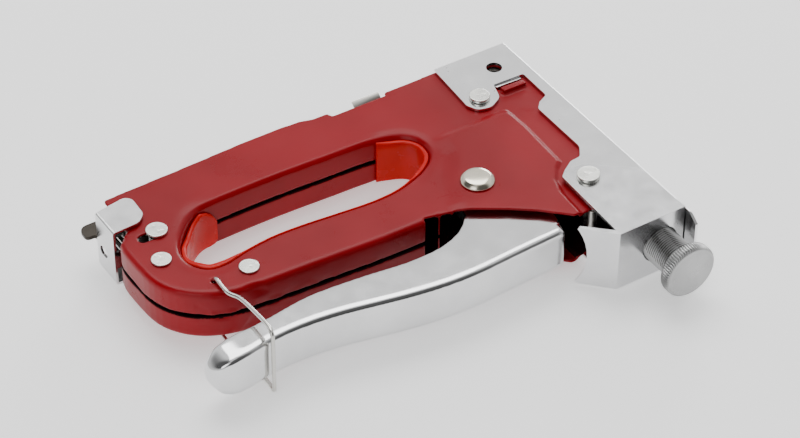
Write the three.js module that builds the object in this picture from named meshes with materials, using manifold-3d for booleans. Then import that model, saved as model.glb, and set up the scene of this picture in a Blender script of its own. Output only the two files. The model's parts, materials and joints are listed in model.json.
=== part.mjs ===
// Hand staple gun (manual tacker): two pressed steel shells, a chromed nose cover and
// head bracket, a pressed lever held shut by a wire bail, a coil-spring hammer under a
// knurled tension screw, and a staple magazine that pulls out at the rear.
//
// Millimetres, +Z up. The gun lies on its left side: X runs from the rear of the
// magazine to the nose, -Y is the top of the gun (lever and tension screw), +Y is the
// face the staples leave from, and Z is across the gun's thickness.
import * as THREE from 'three';
import { mergeVertices } from 'three/addons/utils/BufferGeometryUtils.js';
import Module from 'manifold-3d';

const wasm = await Module();
wasm.setup();

// ---------------------------------------------------------------- driving dimensions
const SHEET = 1.1;            // shell sheet thickness
const SHELL_Z = 10.5;         // half thickness over the shells
const PANEL_Z = 11.7;         // half thickness over the raised head panel
const SEAM = 0.65;            // half of the gap between the two shells
const FOLD = 2.0;             // fold radius along the shell edges
const GAP = 0.3;              // clearance between touching pieces
const COVER_T = 1.05;         // nose cover sheet
const COVER_Z = SHELL_Z + GAP + COVER_T;      // outer face of the cover's cheeks
const BRACKET_T = 1.0;        // head bracket sheet
const BRACKET_Z = COVER_Z + GAP + BRACKET_T;  // outer face of the bracket's cheeks
const WEB_X0 = 0.3;           // inner face of the nose cover's front web
const TOP_V = 115.6;          // outer face of the bracket's top plate
const LEVER_Z = 8.9;          // half width of the lever
const LEVER_T = 1.2;          // lever sheet
const PIVOT = [-54.2, 62.2];  // lever pivot
const BAIL_AT = [-161.3, 57.0]; // bail wire pivot
const WIRE_R = 0.8;           // bail wire radius
const AXIS_U = -10.4;         // tension screw, spring and hammer axis
const KNOB_R = 10.7;          // knurled knob
const KNOB_V = [129.3, 134.3];
const SCREW_R = 7.1;          // tension screw thread
const PITCH = 0.95;           // its thread pitch
const SCREW_END_V = 99.0;     // inner end of the screw
const SPRING_R = 5.9;         // main spring mean radius
const SPRING_WIRE = 0.85;     // main spring wire radius
const HAMMER_V = [50.0, 66.0];
const SEAT_V = [94.6, 98.6];  // spring seat cup
const CHANNEL_Z = 8.9;        // half width of the fixed magazine channel
const CHANNEL_V = [-0.8, 16.4];
const TRAY_Z = 7.3;           // half width of the sliding tray
const RAIL_Z = 4.7;           // half width of the staple rail
const MAG_FRONT = -3.3;       // front end of the magazine pieces
const MAG_REAR = -173.0;

// ------------------------------------------------------------------------- materials
const look = (color, roughness, metalness) =>
  new THREE.MeshStandardMaterial({ color, roughness, metalness });
const MAT = {
  red: () => look(0xa5201f, 0.32, 0.0),
  liner: () => look(0xd8341c, 0.35, 0.0),
  chrome: () => look(0xc9c9cb, 0.16, 1.0),
  zinc: () => look(0xd6d6cf, 0.38, 1.0),
  nickel: () => look(0xc8bfa8, 0.22, 1.0),
  satin: () => look(0xacacac, 0.36, 1.0),
  steel: () => look(0x9a9a98, 0.4, 1.0),
  dark: () => look(0x35322f, 0.5, 1.0),
  wire: () => look(0xb5b3ab, 0.3, 1.0),
  rubber: () => look(0x1c1c1c, 0.8, 0.0),
};

// --------------------------------------------------------------------------- helpers
const group = new THREE.Group();

function clean(geometry) {
  const g = geometry.clone();
  g.deleteAttribute('normal');
  g.deleteAttribute('uv');
  const m = mergeVertices(g, 1e-4);
  const p = m.attributes.position;
  const idx = m.index.array;
  const tris = [];
  let volume = 0;
  const a = new THREE.Vector3(), b = new THREE.Vector3(), c = new THREE.Vector3();
  for (let i = 0; i < idx.length; i += 3) {
    const [x, y, z] = [idx[i], idx[i + 1], idx[i + 2]];
    if (x === y || y === z || z === x) continue;
    tris.push(x, y, z);
    a.fromBufferAttribute(p, x); b.fromBufferAttribute(p, y); c.fromBufferAttribute(p, z);
    volume += a.dot(b.cross(c));
  }
  if (volume < 0) for (let i = 0; i < tris.length; i += 3) [tris[i + 1], tris[i + 2]] = [tris[i + 2], tris[i + 1]];
  return { verts: new Float32Array(p.array), tris: new Uint32Array(tris) };
}
function solid(geometry) {
  const { verts, tris } = clean(geometry);
  return new wasm.Manifold(new wasm.Mesh({ numProp: 3, vertProperties: verts, triVerts: tris }));
}
function toGeometry(s) {
  const out = s.getMesh();
  const g = new THREE.BufferGeometry();
  const n = out.numProp;
  const count = out.vertProperties.length / n;
  const pos = new Float32Array(count * 3);
  for (let i = 0; i < count; i++) for (let k = 0; k < 3; k++) pos[3 * i + k] = out.vertProperties[n * i + k];
  g.setAttribute('position', new THREE.BufferAttribute(pos, 3));
  g.setIndex(new THREE.BufferAttribute(new Uint32Array(out.triVerts), 1));
  return g;
}
function add(name, body, material) {
  let g;
  if (body.isBufferGeometry) {
    const { verts, tris } = clean(body);
    g = new THREE.BufferGeometry();
    g.setAttribute('position', new THREE.BufferAttribute(verts, 3));
    g.setIndex(new THREE.BufferAttribute(tris, 1));
  } else g = toGeometry(body);
  g.computeVertexNormals();
  const mesh = new THREE.Mesh(g, material());
  mesh.name = name;
  group.add(mesh);
}
const join = (...s) => s.reduce((a, b) => a.add(b));
const cut = (s, ...rest) => rest.reduce((a, b) => a.subtract(b), s);

// a closed outline whose corners carry a radius: [u, v, r]
function fillet(points, seg = 3) {
  const out = [];
  const n = points.length;
  for (let i = 0; i < n; i++) {
    const [x, y, r = 0] = points[i];
    const P = new THREE.Vector2(x, y);
    if (!r) { out.push([x, y]); continue; }
    const A = new THREE.Vector2(points[(i + n - 1) % n][0], points[(i + n - 1) % n][1]).sub(P);
    const B = new THREE.Vector2(points[(i + 1) % n][0], points[(i + 1) % n][1]).sub(P);
    const la = A.length(), lb = B.length();
    A.normalize(); B.normalize();
    const half = Math.acos(Math.max(-1, Math.min(1, A.dot(B)))) / 2;
    if (Math.abs(half - Math.PI / 2) < 0.02) { out.push([x, y]); continue; }
    let t = r / Math.tan(half);
    t = Math.min(t, 0.49 * la, 0.49 * lb);
    const rr = t * Math.tan(half);
    const C = A.clone().add(B).normalize().multiplyScalar(rr / Math.sin(half)).add(P);
    const s = A.clone().multiplyScalar(t).add(P), e = B.clone().multiplyScalar(t).add(P);
    const a0 = Math.atan2(s.y - C.y, s.x - C.x);
    let d = Math.atan2(e.y - C.y, e.x - C.x) - a0;
    while (d > Math.PI) d -= 2 * Math.PI;
    while (d < -Math.PI) d += 2 * Math.PI;
    for (let k = 0; k <= seg; k++) out.push([C.x + rr * Math.cos(a0 + d * k / seg), C.y + rr * Math.sin(a0 + d * k / seg)]);
  }
  return out;
}
// a smooth closed outline through the given points
function smooth(points, samples) {
  const curve = new THREE.CatmullRomCurve3(points.map(([u, v]) => new THREE.Vector3(u, v, 0)), true, 'centripetal');
  return curve.getSpacedPoints(samples).slice(0, -1).map((p) => [p.x, p.y]);
}
// a smooth open run through the given points
function run(points, samples) {
  const curve = new THREE.CatmullRomCurve3(points.map(([u, v]) => new THREE.Vector3(u, v, 0)), false, 'centripetal');
  return curve.getSpacedPoints(samples).map((p) => [p.x, p.y]);
}
const signedArea = (pts) => pts.reduce((s, p, i) => { const q = pts[(i + 1) % pts.length]; return s + p[0] * q[1] - q[0] * p[1]; }, 0) / 2;
// moves every side of a closed outline outwards by d (inwards when d is negative)
function offset(pts, d) {
  const w = signedArea(pts) > 0 ? 1 : -1;
  const n = pts.length;
  return pts.map((p, i) => {
    const a = pts[(i + n - 1) % n], b = pts[(i + 1) % n];
    const e1 = new THREE.Vector2(p[0] - a[0], p[1] - a[1]).normalize();
    const e2 = new THREE.Vector2(b[0] - p[0], b[1] - p[1]).normalize();
    const n1 = new THREE.Vector2(e1.y, -e1.x).multiplyScalar(w), n2 = new THREE.Vector2(e2.y, -e2.x).multiplyScalar(w);
    const m = n1.clone().add(n2);
    const k = Math.min(2.0, 1 / Math.max(0.25, (1 + n1.dot(n2)) / 2));
    m.multiplyScalar(0.5 * k * d);
    return [p[0] + m.x, p[1] + m.y];
  });
}
const shape = (pts) => new THREE.Shape(pts.map(([u, v]) => new THREE.Vector2(u, -v)));
// extrusions: across the gun (z), and of a (z, v) outline along the gun (u), and of a (u, z) outline up the gun (v)
function alongZ(pts, z0, z1) {
  const g = new THREE.ExtrudeGeometry(shape(pts), { depth: z1 - z0, bevelEnabled: false, curveSegments: 8 });
  g.translate(0, 0, z0);
  return solid(g);
}
// rounded over at the z1 end (and, out of use, at the other)
function alongZRound(pts, z0, z1, size, thick, segments, keepOutline = true) {
  const g = new THREE.ExtrudeGeometry(shape(pts), {
    depth: z1 - z0 - 2 * thick, bevelEnabled: true, bevelThickness: thick, bevelSize: size,
    bevelOffset: keepOutline ? -size : 0, bevelSegments: segments, curveSegments: 8,
  });
  g.translate(0, 0, z0 + thick);
  return solid(g);
}
function alongU(pts, u0, u1) { // pts are [z, v]
  const g = new THREE.ExtrudeGeometry(new THREE.Shape(pts.map(([z, v]) => new THREE.Vector2(-z, -v))), { depth: u1 - u0, bevelEnabled: false, curveSegments: 8 });
  g.applyMatrix4(new THREE.Matrix4().set(0, 0, 1, 0, 0, 1, 0, 0, -1, 0, 0, 0, 0, 0, 0, 1));
  g.translate(u0, 0, 0);
  return solid(g);
}
function alongV(pts, v0, v1) { // pts are [u, z]
  const g = new THREE.ExtrudeGeometry(new THREE.Shape(pts.map(([u, z]) => new THREE.Vector2(u, z))), { depth: v1 - v0, bevelEnabled: false, curveSegments: 8 });
  g.applyMatrix4(new THREE.Matrix4().set(1, 0, 0, 0, 0, 0, -1, 0, 0, 1, 0, 0, 0, 0, 0, 1));
  g.translate(0, -v0, 0);
  return solid(g);
}
function box(u0, u1, v0, v1, z0, z1) {
  const g = new THREE.BoxGeometry(u1 - u0, v1 - v0, z1 - z0);
  g.translate((u0 + u1) / 2, -(v0 + v1) / 2, (z0 + z1) / 2);
  return solid(g);
}
// a turned piece on a z axis: profile [r, z]
function turnZ(profile, u, v, segments = 24) {
  const g = new THREE.LatheGeometry(profile.map(([r, z]) => new THREE.Vector2(r, z)), segments);
  g.rotateX(Math.PI / 2);
  g.translate(u, -v, 0);
  return solid(g);
}
// a turned piece on an axis up the gun: profile [r, v]
function turnV(profile, u, z, segments = 24) {
  const g = new THREE.LatheGeometry(profile.map(([r, v]) => new THREE.Vector2(r, v)), segments);
  g.rotateX(Math.PI);
  g.translate(u, 0, z);
  return solid(g);
}
const cylZ = (u, v, r, z0, z1, seg = 20) => turnZ([[0, z0], [r, z0], [r, z1], [0, z1]], u, v, seg);
const cylV = (u, z, r, v0, v1, seg = 24) => turnV([[0, v0], [r, v0], [r, v1], [0, v1]], u, z, seg);
function cylU(v, z, r, u0, u1, seg = 14) {
  const g = new THREE.CylinderGeometry(r, r, u1 - u0, seg);
  g.rotateZ(Math.PI / 2);
  g.translate((u0 + u1) / 2, -v, z);
  return solid(g);
}
const tubeZ = (u, v, r0, r1, z0, z1, seg = 18) => turnZ([[r0, z0], [r1, z0], [r1, z1], [r0, z1], [r0, z0]], u, v, seg);
const mirrorZ = (g) => { const h = g.clone(); h.scale(1, 1, -1); return h; };
function flipped(s) { return solid(mirrorZ(toGeometry(s).toNonIndexed())); }
// round wire along a curve
function wire(curve, r, steps, sides) {
  const ring = new THREE.Shape();
  for (let i = 0; i < sides; i++) {
    const a = 2 * Math.PI * i / sides;
    if (i) ring.lineTo(r * Math.cos(a), r * Math.sin(a)); else ring.moveTo(r, 0);
  }
  return new THREE.ExtrudeGeometry(ring, { steps, bevelEnabled: false, extrudePath: curve });
}
// a coil between two ends on an axis; tight flat turns at each end
class Coil extends THREE.Curve {
  constructor(at, r, turns, closed) { super(); Object.assign(this, { at, r, turns, closed }); }
  getPoint(t, target = new THREE.Vector3()) {
    const a = 2 * Math.PI * this.turns * t;
    const c = this.closed / this.turns;
    // share of the height used up to t, slow over the closed end turns
    const e = (x) => (x < c ? 0.25 * x : x > 1 - c ? 0.25 * c + (1 - 2 * c) + 0.25 * (x - 1 + c) : 0.25 * c + (x - c));
    const h = e(t) / e(1);
    return this.at(this.r * Math.cos(a), this.r * Math.sin(a), h, target);
  }
}

// -------------------------------------------------------------------- shell outlines
const rearCurve = [[-148, 66.9], [-153.7, 66.3], [-159.4, 65.1], [-164.7, 63.2], [-169.4, 60.5], [-173.4, 57.1], [-176.7, 52.9],
  [-179.1, 48.1], [-180.3, 42.8], [-180.7, 36.6], [-180.8, 29.8], [-180.6, 24.8], [-179.8, 21.5], [-177.6, 19.5]];
const handleTop = [[-81.5, 70.0], [-99, 69.7], [-117, 68.6], [-137, 67.5]];
const handleRear = [...handleTop, ...run(rearCurve, 22)];
const trueOutline = [
  ...handleRear,
  ...fillet([[-174.6, 17.5, 0], [-173.8, -2.2, 1.2], [-154, -2.8, 0], [-133, -3.4, 0], [-115, -4.1, 0], [-98, -4.1, 0], [-90, -3.6, 0],
    [-85.4, -2.3, 0.5], [-78.9, -2.2, 0.7], [-78.1, 0.1, 0.5], [-54.6, 0.4, 0.5], [-54.0, -1.4, 0.6], [-32, -1.6, 0], [-0.1, -1.2, 0],
    [-0.1, 112.6, 0], [-26.6, 112.6, 0], [-26.8, 95.9, 0], [-35.0, 96.9, 2.6], [-45.0, 87.4, 0], [-53.3, 81.2, 0], [-61.4, 75.9, 0],
    [-69.6, 70.8, 5], [-79.4, 68.4, 0.8], [-81.5, 67.9, 0]], 3),
];
const foldOutline = [
  ...handleRear, [-178.4, 16.9], [-186, 10], [-186, -12], [8, -12], [8, 125], [-76, 125], [-76, 70.1],
];
const slotPoints = [[-140, 19.4], [-115, 19.2], [-92, 20.0], [-74, 20.8], [-65.5, 22.6], [-60.8, 25.4], [-58.2, 29.6], [-58.0, 34.6],
  [-59.6, 38.6], [-63.2, 42.0], [-71, 46.4], [-78.8, 49.2], [-89.6, 50.2], [-106, 49.0], [-120, 47.7], [-132.3, 47.4], [-146.5, 49.2],
  [-153, 50.2], [-158.6, 49.6], [-162.2, 46.2], [-163.6, 41.5], [-163.2, 36.6], [-160.8, 31.4], [-156.3, 26.0], [-151.5, 21.8], [-146.5, 19.8]];
const slot = smooth(slotPoints, 78);
const panel = fillet([[-55.2, 30.8, 4], [-20.4, 31.2, 2.4], [-19.8, 45, 0], [-21.0, 69.2, 0], [-24.6, 72.0, 0], [-28.4, 77.0, 0], [-30.6, 84, 0], [-31.8, 101, 0],
  [-40, 101, 0], [-72.4, 78, 0], [-71.6, 67, 0], [-63.4, 51.2, 0], [-57.0, 42.0, 0]], 3);

// rivets through both shells: [name, u, v, head radius, head height, shank radius, seat z, domed]
const RIVETS = [
  ['nose_rivet_lower', -26.4, 22.3, 4.0, 1.5, 1.8, COVER_Z, 0.6],
  ['nose_rivet_upper', -19.9, 83.4, 4.3, 1.6, 1.7, BRACKET_Z, 0.6],
  ['rear_rivet_lower', -165.8, 23.2, 4.0, 1.1, 1.6, SHELL_Z, 0.35],
  ['rear_rivet_middle', -171.9, 37.7, 3.7, 0.8, 1.6, SHELL_Z, 0.25],
  ['rear_rivet_upper', -147.7, 57.5, 3.7, 0.8, 1.6, SHELL_Z, 0.25],
];
const STOP_PIN = [-26.2, 95.0, 1.9];
const NOSE_HOLE = [-11.1, 9.6, 3.1];

// -------------------------------------------------------------------------- shells
function makeShell() {
  const block = alongZRound(foldOutline, -SHELL_Z, SHELL_Z, FOLD, FOLD, 3).intersect(box(-200, 20, -20, 130, SEAM, 20)).intersect(alongZ(trueOutline, 0, 20));
  let cavity = alongZ(offset(foldOutline, -SHEET), SEAM - 1, SHELL_Z - SHEET);
  cavity = cavity.subtract(alongZ(offset(slot, SHEET), SEAM - 2, SHELL_Z));
  let s = block.subtract(cavity);
  const raised = alongZRound(panel, 6.5, PANEL_Z, 1.5, PANEL_Z - SHELL_Z, 2).intersect(box(-200, 20, -20, 130, SHELL_Z - SHEET + 0.2, 20)).intersect(alongZ(trueOutline, 0, 20));
  s = s.add(raised);
  s = s.subtract(alongZ(offset(panel, -1.7), SHELL_Z - SHEET - 0.3, PANEL_Z - SHEET));
  // pressed louvre behind the nose cover's cut-out
  const louvre = fillet([[-17.0, 21.4, 0.8], [-6.2, 21.9, 0.8], [-6.2, 25.0, 0.8], [-17.0, 24.6, 0.8]], 2);
  s = s.add(alongZRound(louvre, SHELL_Z - 2.4, SHELL_Z + 1.0, 0.6, 0.6, 1).intersect(box(-30, 0, 0, 60, SHELL_Z - 0.5, 20)));
  s = s.subtract(alongZ(fillet([[-16.6, 19.2, 0.4], [-6.4, 19.6, 0.4], [-6.4, 20.9, 0.4], [-16.6, 20.5, 0.4]], 2), 5, 20));
  // finger slot, with its lip broken back
  s = s.subtract(alongZ(slot, -5, 20));
  const lip = new THREE.ExtrudeGeometry(shape(slot), { depth: 2, bevelEnabled: true, bevelThickness: 1.2, bevelSize: 1.2, bevelOffset: -0.02, bevelSegments: 1, curveSegments: 4 });
  lip.translate(0, 0, SHELL_Z + 0.001);
  s = s.subtract(solid(lip));
  // holes
  for (const [, u, v, , , r] of RIVETS) s = s.subtract(cylZ(u, v, r + GAP, 5, 20, 14));
  s = cut(s, cylZ(...PIVOT, 4.3, 5, 20, 20), cylZ(STOP_PIN[0], STOP_PIN[1], 1.15, 5, 20, 12));
  s = s.subtract(cylZ(...BAIL_AT, WIRE_R + 0.5, 5, 20, 12));
  s = s.subtract(cylZ(NOSE_HOLE[0], NOSE_HOLE[1], NOSE_HOLE[2], 5, 20, 20));
  s = s.subtract(alongZ(fillet([[-173.6, 21.9, 1.8], [-167.4, 21.9, 0], [-167.4, 26.0, 0], [-173.6, 26.0, 1.8]], 3), 5, 20));
  return s;
}
const shellRight = makeShell();
add('shell_right', shellRight, MAT.red);
add('shell_left', flipped(shellRight), MAT.red);

// ------------------------------------------------------------------------ finger liner
{
  const outer = offset(slot, -GAP), inner = offset(slot, -GAP - 1.7);
  let s = alongZ(outer, -9.5, 9.5).subtract(alongZ(inner, -12, 12));
  // open along the magazine side, cut square at the nose end
  s = s.subtract(box(-139, -72.4, 10, 30, -12, 12));
  // rounded tongue at the rear end
  const tongue = [[-146, 9.6], [-151, 13], [-134, 13], [-134, -13], [-140.5, -13], [-141.0, -9.0], [-139.4, -6.0], [-139.2, -2.0], [-139.9, 2.0], [-141.6, 5.2], [-144.0, 7.8]];
  s = s.subtract(alongV(tongue, 14, 27));
  add('finger_liner', s, MAT.liner);
}

// ---------------------------------------------------------------- nose cover and bracket
const coverCheek = fillet([[1.35, -1.5, 0], [-31.4, -1.6, 0.6], [-33.0, 23.6, 2.5], [-31.0, 27.9, 3.5], [-25.6, 29.3, 4.5], [-19.6, 26.0, 4], [-17.3, 18.4, 0.5], [-3.9, 18.8, 0.8], [-4.1, 34.2, 1.6],
  [-8.6, 36.4, 0.8], [-11.3, 39.4, 2.4], [-11.3, 66.0, 4], [-14.6, 70.9, 2], [-19.2, 71.4, 1.5], [-24.2, 74.6, 1.5], [-26.8, 78.0, 1], [-26.9, 113.6, 0], [1.35, 113.6, 0]], 3);
{
  const cheeks = join(alongZ(coverCheek, COVER_Z - COVER_T, COVER_Z), alongZ(coverCheek, -COVER_Z, -COVER_Z + COVER_T));
  const web = alongU([[-COVER_Z, -1.5], [COVER_Z, -1.5], [COVER_Z, 117.2], [COVER_Z - 3.4, 121.7], [-COVER_Z + 3.4, 121.7], [-COVER_Z, 117.2]], WEB_X0, WEB_X0 + COVER_T);
  let s = join(cheeks, web);
  const round = alongV(fillet([[-60, -COVER_Z, 0], [WEB_X0 + COVER_T, -COVER_Z, 1.0], [WEB_X0 + COVER_T, COVER_Z, 1.0], [-60, COVER_Z, 0]], 3), -5, 130);
  s = s.intersect(round);
  s = cut(s, cylZ(NOSE_HOLE[0], NOSE_HOLE[1], NOSE_HOLE[2], -20, 20, 24), cylZ(RIVETS[0][1], RIVETS[0][2], 1.8 + GAP, -20, 20, 14), cylZ(RIVETS[1][1], RIVETS[1][2], 1.7 + GAP, -20, 20, 14));
  // staple exit: the web's lower edge is relieved
  s = s.subtract(box(0, 3, -3, 0.4, -6.4, 6.4));
  add('nose_cover', s, MAT.chrome);
}
{
  const cheek = fillet([[-27.8, 78.2, 1.2], [-25.4, 76.0, 2], [-16.6, 76.6, 1], [-1.2, 88.9, 0.8], [-0.3, 110.2, 0.5], [0.1, 115.6, 0], [-29.0, 115.6, 0], [-28.4, 94, 0]], 3);
  let s = join(alongZ(cheek, BRACKET_Z - BRACKET_T, BRACKET_Z), alongZ(cheek, -BRACKET_Z, -BRACKET_Z + BRACKET_T),
    box(-29.0, -0.1, TOP_V - BRACKET_T, TOP_V, -BRACKET_Z, BRACKET_Z));
  // beak: bent back and down from the rear edge of the top plate
  const dx = -10.6, dv = -11.2, len = Math.hypot(dx, dv);
  const [ex, ev] = [dx / len, dv / len];
  const a = [-29.0, TOP_V], b = [a[0] + dx, a[1] + dv];
  const side = [a, b, [b[0] + Math.abs(ev) * BRACKET_T, b[1] - Math.abs(ex) * BRACKET_T], [a[0] + 1.9, a[1] - BRACKET_T]];
  let beak = alongZ(side, -BRACKET_Z, BRACKET_Z);
  // its end is hollowed and its sides taper
  const nrm = [Math.abs(ev), -Math.abs(ex)];
  const g = new THREE.CylinderGeometry(21.5, 21.5, 12, 44);
  // cylinder axis from +y to the beak's normal (nrm in u,v)
  const axis = new THREE.Vector3(nrm[0], -nrm[1], 0).normalize();
  g.applyQuaternion(new THREE.Quaternion().setFromUnitVectors(new THREE.Vector3(0, 1, 0), axis));
  const mid = [b[0] + ex * 17.6, b[1] + ev * 17.6];
  g.translate(mid[0], -mid[1], 0);
  beak = beak.subtract(solid(g));
  s = s.add(beak);
  s = cut(s, cylV(AXIS_U, 0, SCREW_R + 0.45, 110, 120, 28), cylZ(RIVETS[1][1], RIVETS[1][2], 1.7 + GAP, -20, 20, 14));
  add('head_bracket', s, MAT.chrome);
}

// ------------------------------------------------------------------------------ rivets
for (const [name, u, v, hr, hh, sr, z, dome] of RIVETS) {
  const b = z + GAP * 0.5, t = b + hh;
  const half = [[sr, b], [hr - 0.25, b], [hr, b + 0.25], [hr - 0.1, t - dome], [hr * 0.62, t - dome * 0.25], [0, t]];
  const down = half.slice(0, -1).reverse().map(([r, zz]) => [r, -zz]);
  add(name, turnZ([[0, -t], ...down, ...half], u, v, 20), MAT.zinc);
}
{
  const b = PANEL_Z + GAP * 0.6, hr = 6.5, t = b + 2.4, sr = 4.0;
  const half = [[sr, b], [hr - 0.15, b], [hr, b + 0.35], [hr - 0.5, b + 0.95], [hr - 1.6, b + 1.6], [hr * 0.45, b + 2.2], [0, t]];
  const down = half.slice(0, -1).reverse().map(([r, zz]) => [r, -zz]);
  add('lever_pivot_rivet', turnZ([[0, -t], ...down, ...half], ...PIVOT, 24), MAT.nickel);
}
{
  const z = SHELL_Z - SHEET - GAP;
  for (const [i, n] of [[2, 'rear_spacer_lower'], [3, 'rear_spacer_middle'], [4, 'rear_spacer_upper']])
    add(n, tubeZ(RIVETS[i][1], RIVETS[i][2], RIVETS[i][5] + GAP, 3.0, -z, z, 14), MAT.steel);
  const [u, v, r] = STOP_PIN;
  const e = SHELL_Z - 0.1;
  add('stop_pin', turnZ([[0, -e], [0.8, -e], [0.8, -z], [r, -z], [r, z], [0.8, z], [0.8, e], [0, e]], u, v, 16), MAT.zinc);
}

// ------------------------------------------------------------------------------ lever
{
  const outerRun = run([[-41.2, 99.4], [-51, 99.9], [-66, 100.6], [-79, 101.2], [-91, 100.8], [-105, 98.9], [-118, 96.2], [-131, 93.5], [-144, 91.9], [-157, 92.0], [-166, 93.4],
    [-173, 94.5], [-178, 93.9], [-181.6, 91.6], [-183.0, 88.4]], 26);
  const innerRun = run([[-182.4, 85.2], [-179, 83.4], [-172, 82.6], [-163, 82.6], [-155, 81.8], [-137, 79.6], [-116, 80.9], [-97, 83.3], [-85, 82.9], [-79.3, 81.5], [-74.8, 79.7], [-70.6, 76.8], [-67, 72.4]], 24);
  const ear = [];
  for (let k = 0; k <= 9; k++) { const t = (190 + k * 17) * Math.PI / 180; ear.push([PIVOT[0] + 10.2 * Math.cos(t), PIVOT[1] + 10.2 * Math.sin(t)]); }
  const front = [[-41.6, 74], [-39.6, 84], [-39.3, 92.6], [-40.6, 93.6], [-39.9, 95.2], [-40.4, 97.6]];
  const outline = [...outerRun, ...innerRun, [-65.2, 68.0], ...ear, ...front];
  let s = alongZRound(outline, -LEVER_Z, LEVER_Z, 2.2, 2.2, 3);
  // flat flanks outside the two outer edges: the inner (body side) edge of each flange is square
  const flat = alongZ(outline, -LEVER_Z, LEVER_Z);
  const lowRegion = [[-190, 40], [-30, 40], [-30, 94.6], [-66, 94.6], ...innerRun.slice().reverse().filter(([u]) => u > -176 && u < -66).map(([u, v]) => [u, v + 4.0]), [-178, 86], [-190, 86]];
  s = s.add(flat.intersect(alongZ(lowRegion, -LEVER_Z, LEVER_Z)));
  // rounded tail, seen from the top of the gun
  const r = LEVER_Z, x0 = -183.0;
  const plan = [[-30, -r - 1], [-30, r + 1]];
  plan.push([x0 + 12, r + 1], [x0 + 12, r]);
  for (let k = 1; k < 12; k++) { const t = Math.PI / 2 + k * Math.PI / 12; plan.push([x0 + 12 + 12 * Math.cos(t), r * Math.sin(t)]); }
  plan.push([x0 + 12, -r], [x0 + 12, -r - 1]);
  s = s.intersect(alongV(plan, 40, 110));
  // hollow, open towards the body
  const innerTop = offset(outline, -LEVER_T);
  const hollowTop = innerTop.slice(0, outerRun.length);
  const hollow = [[-36, hollowTop[0][1]], ...hollowTop.filter(([u]) => u > -181), [-181.2, 40], [-36, 40]];
  const zi = LEVER_Z - LEVER_T;
  let cav = alongZRound(hollow, -zi, zi, 1.2, 1.2, 2);
  const planIn = [[-20, -zi - 1], [-20, zi + 1], [x0 + 12, zi + 1], [x0 + 12, zi]];
  for (let k = 1; k < 12; k++) { const t = Math.PI / 2 + k * Math.PI / 12; planIn.push([x0 + 12 + (12 - LEVER_T) * Math.cos(t), zi * Math.sin(t)]); }
  planIn.push([x0 + 12, -zi], [x0 + 12, -zi - 1]);
  cav = cav.intersect(alongV(planIn, 20, 120));
  s = s.subtract(cav);
  s = s.subtract(cylZ(...PIVOT, 4.3, -20, 20, 20));
  add('lever', s, MAT.chrome);
}
{
  // lifting claw: riveted inside the lever, reaches forward to the hammer's lip
  const tipA = 18 * Math.PI / 180, R = 30.6;
  const tip = [PIVOT[0] + R * Math.cos(tipA), PIVOT[1] + R * Math.sin(tipA)];
  const pts = fillet([[-62.5, 60, 6], [-58, 53.6, 5], [-49, 53.8, 4], [-44, 61.0, 4], [tip[0] - 0.8, tip[1] - 3.2, 0.8], [tip[0], tip[1] + 0.6, 1.2], [tip[0] - 2.2, tip[1] + 2.6, 1.0],
    [-44.5, 71.8, 4], [-49.2, 85.4, 3], [-58.2, 85.6, 3], [-60.4, 70, 3]], 3);
  let s = alongZ(pts, -2.2, 2.2);
  s = cut(s, cylZ(...PIVOT, 4.3, -5, 5, 20), cylZ(-53.8, 80.4, 1.8 + GAP, -5, 5, 14));
  add('lifting_claw', s, MAT.steel);
  add('claw_pin', cylZ(-53.8, 80.4, 1.8, -LEVER_Z + LEVER_T + GAP, LEVER_Z - LEVER_T - GAP, 14), MAT.zinc);
}
{
  // torsion return spring around the pivot, one leg up inside the lever, one leg on the shell side
  const pts = [];
  const leg0 = [[-61.2, 90.0], [-60.4, 74.0]];
  for (const [u, v] of leg0) pts.push(new THREE.Vector3(u, -v, 3.4));
  const turns = 3, rc = 5.9, a0 = Math.PI;
  const n = 34;
  for (let k = 0; k <= n; k++) { const t = a0 + k / n * turns * 2 * Math.PI; pts.push(new THREE.Vector3(PIVOT[0] + rc * Math.cos(t), -(PIVOT[1] + rc * Math.sin(t)), 3.5 + 3.1 * k / n)); }
  pts.push(new THREE.Vector3(-60.2, -54.0, 6.7), new THREE.Vector3(-60.0, -45.6, 6.7));
  const curve = new THREE.CatmullRomCurve3(pts, false, 'centripetal');
  add('lever_return_spring', wire(curve, 0.45, 72, 5), MAT.wire);
}

// --------------------------------------------------------------------------- bail wire
{
  const z0 = 7.6, z1 = SHELL_Z + 0.45 + WIRE_R, zt = 14.0;
  const [bu, bv] = BAIL_AT;
  const top = [[bu, bv, z0], [bu, bv, 9.6], [bu, bv, z1 - 0.9], [bu + 0.05, bv + 0.9, z1 + 0.05], [bu - 0.2, bv + 5.0, z1 + 0.35], [bu - 0.2, bv + 9.2, 12.1], [bu + 0.4, bv + 11.4, 12.3], [bu + 1.3, bv + 13.4, 12.5], [bu + 1.8, bv + 16.2, 12.75],
    [bu + 2.1, bv + 24.0, 13.4], [bu + 2.0, bv + 34.0, zt], [bu + 1.5, bv + 36.3, zt - 0.35], [bu + 1.45, bv + 37.1, zt - 1.3], [bu + 1.45, bv + 37.2, 9]];
  const pts = [...top, [bu + 1.45, bv + 37.2, 0], ...top.slice().reverse().map(([u, v, z]) => [u, v, -z])].map(([u, v, z]) => new THREE.Vector3(u, -v, z));
  const curve = new THREE.CatmullRomCurve3(pts, false, 'centripetal');
  add('bail_wire', wire(curve, WIRE_R, 84, 8), MAT.wire);
}

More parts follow.
